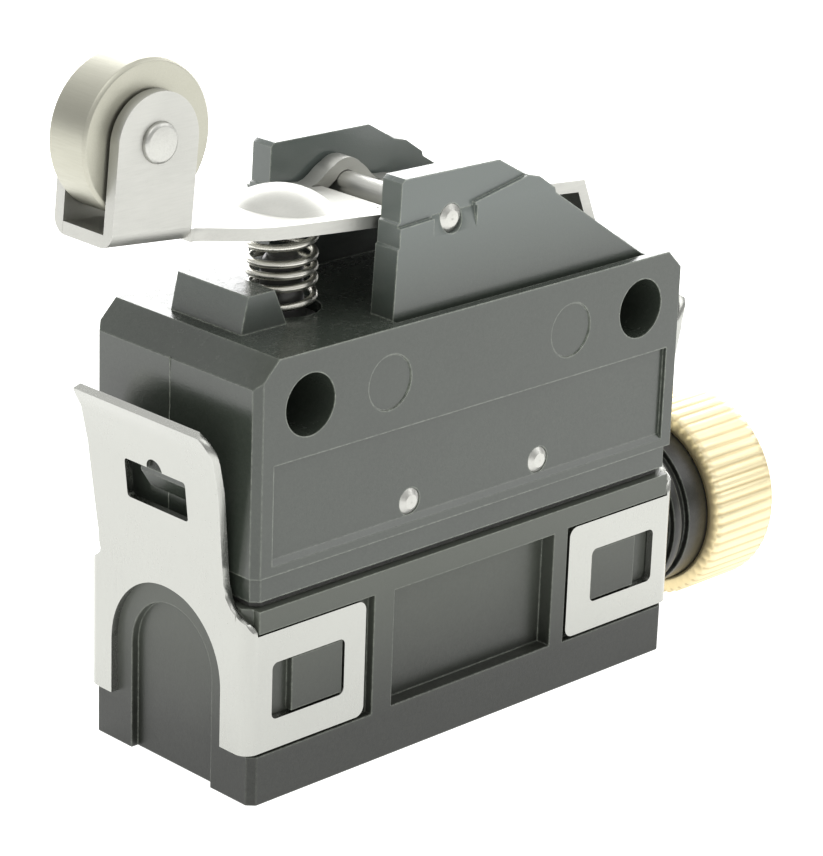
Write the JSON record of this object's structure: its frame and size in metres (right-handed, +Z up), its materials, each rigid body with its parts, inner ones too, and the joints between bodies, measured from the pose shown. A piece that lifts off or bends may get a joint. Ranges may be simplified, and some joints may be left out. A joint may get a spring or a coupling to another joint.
{
  "type": "roller lever limit switch",
  "caption": "Compact boxed limit switch with a hinged roller lever over a sprung plunger, a clip-on terminal cover and a knurled brass cable gland.",
  "frame": {"origin": "midway between the two mounting holes, on the middle plane of the body", "axes": "+X along the body towards the cable gland, +Y along the mounting holes to the rear face, +Z up from the terminal cover to the lever"},
  "size_m": [0.0617, 0.016, 0.0493],
  "materials": {
    "housing_plastic": "satin, fine grained, dark grey",
    "cover_plastic": "satin black moulding",
    "black_rubber": "matt black",
    "clip_steel": "bright rolled stainless sheet",
    "lever_steel": "pressed and tumbled stainless",
    "roller_steel": "turned and ground steel",
    "pin_steel": "bright drawn steel",
    "spring_steel": "drawn spring wire",
    "black_plastic": "smooth black",
    "bush_brass": "turned",
    "nut_brass": "bright, straight knurled",
    "red_plastic": "red-brown thermoset",
    "button_plastic": "orange moulding",
    "contact_copper": "thin rolled spring strip",
    "contact_silver": "silver rivet",
    "terminal_brass": "plain stamped strip",
    "card": "pressed insulating card"
  },
  "bodies": {
    "case": {"housing": "housing_plastic", "pivot_pin": "pin_steel", "case_pins": "pin_steel", "plunger_bush": "bush_brass", "plunger_seal": "black_rubber", "coil_spring": "spring_steel", "switch_base": "red_plastic", "switch_case": "black_plastic", "terminal_com": "terminal_brass", "terminal_no": "terminal_brass", "terminal_nc": "terminal_brass", "terminal_screws": "pin_steel", "terminal_washers": "clip_steel"},
    "terminal_cover": {"cover": "cover_plastic", "cover_gasket": "black_rubber", "clip_left": "clip_steel", "clip_right": "clip_steel", "gland_grommet": "black_rubber", "gland_washer": "clip_steel", "insulator": "card"},
    "lever_arm": {"lever": "lever_steel", "roller_axle": "pin_steel"},
    "lever_roller": {"roller": "roller_steel"},
    "push_rod": {"plunger": "black_plastic"},
    "inner_button": {"switch_button": "button_plastic"},
    "blade": {"snap_blade": "contact_copper", "moving_contact": "contact_silver"},
    "cable_nut": {"gland_nut": "nut_brass"}
  },
  "joints": [
    {"name": "lever_hinge", "type": "hinge", "parent": "case", "child": "lever_arm", "pos_m": [-0.0023, 0, 0.00953], "axis": [0, -1, 0], "range_deg": [0, 10], "stiffness_Nm_per_rad": 0.25, "springref_deg": -20.05, "deforming": ["coil_spring"]},
    {"name": "roller_spin", "type": "hinge", "parent": "lever_arm", "child": "lever_roller", "pos_m": [-0.02376, 0, 0.01735], "axis": [0, 1, 0], "continuous": true},
    {"name": "plunger_slide", "type": "slide", "parent": "case", "child": "push_rod", "axis": [0, 0, -1], "range_m": [0, 0.00085]},
    {"name": "button_slide", "type": "slide", "parent": "case", "child": "inner_button", "axis": [0, 0, -1], "range_m": [0, 0.00085]},
    {"name": "blade_flex", "type": "hinge", "parent": "case", "child": "blade", "pos_m": [0.0084, 0, -0.006], "axis": [0, -1, 0], "range_deg": [0, 2.6]},
    {"name": "nut_turn", "type": "hinge", "parent": "terminal_cover", "child": "cable_nut", "pos_m": [0.0296, 0, -0.0192], "axis": [1, 0, 0], "continuous": true},
    {"name": "cover_slide", "type": "slide", "parent": "case", "child": "terminal_cover", "axis": [0, 0, -1], "range_m": [0, 0.014]}
  ],
  "couplings": [
    {"joint": "plunger_slide", "follows": "lever_hinge", "m_per_rad": 0.0045837},
    {"joint": "button_slide", "follows": "lever_hinge", "m_per_rad": 0.0045837},
    {"joint": "blade_flex", "follows": "lever_hinge", "ratio": 0.2375}
  ]
}
